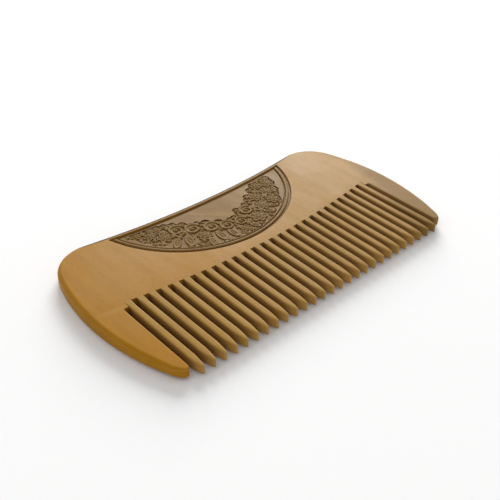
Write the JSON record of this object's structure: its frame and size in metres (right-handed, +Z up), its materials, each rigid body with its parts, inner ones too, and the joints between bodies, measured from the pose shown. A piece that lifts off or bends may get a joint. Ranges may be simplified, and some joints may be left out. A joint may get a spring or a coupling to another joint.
{
  "type": "hair comb",
  "caption": "carved wooden pocket comb: hollow-backed plate with a floral D-shaped inlay, wide wedge teeth and two broad curved end guards",
  "frame": {"origin": "centre of the footprint, on the resting plane", "axes": "X along the row of teeth, +Y from the tooth tips to the back edge, +Z up out of the carved face"},
  "size_m": [0.1098, 0.057, 0.0045],
  "materials": {
    "back_wood": "satin",
    "tooth_wood": "satin",
    "guard_wood": "satin",
    "inlay_wood": "satin"
  },
  "bodies": {
    "root": {"back_plate": "back_wood", "panel_inlay": "inlay_wood", "end_guard_left": "guard_wood", "end_guard_right": "guard_wood", "tooth_01": "tooth_wood", "tooth_02": "tooth_wood", "tooth_03": "tooth_wood", "tooth_04": "tooth_wood", "tooth_05": "tooth_wood", "tooth_06": "tooth_wood", "tooth_07": "tooth_wood", "tooth_08": "tooth_wood", "tooth_09": "tooth_wood", "tooth_10": "tooth_wood", "tooth_11": "tooth_wood", "tooth_12": "tooth_wood", "tooth_13": "tooth_wood", "tooth_14": "tooth_wood", "tooth_15": "tooth_wood", "tooth_16": "tooth_wood", "tooth_17": "tooth_wood", "tooth_18": "tooth_wood", "tooth_19": "tooth_wood", "tooth_20": "tooth_wood", "tooth_21": "tooth_wood", "tooth_22": "tooth_wood", "tooth_23": "tooth_wood", "tooth_24": "tooth_wood", "tooth_25": "tooth_wood", "tooth_26": "tooth_wood", "tooth_27": "tooth_wood"}
  },
  "joints": []
}
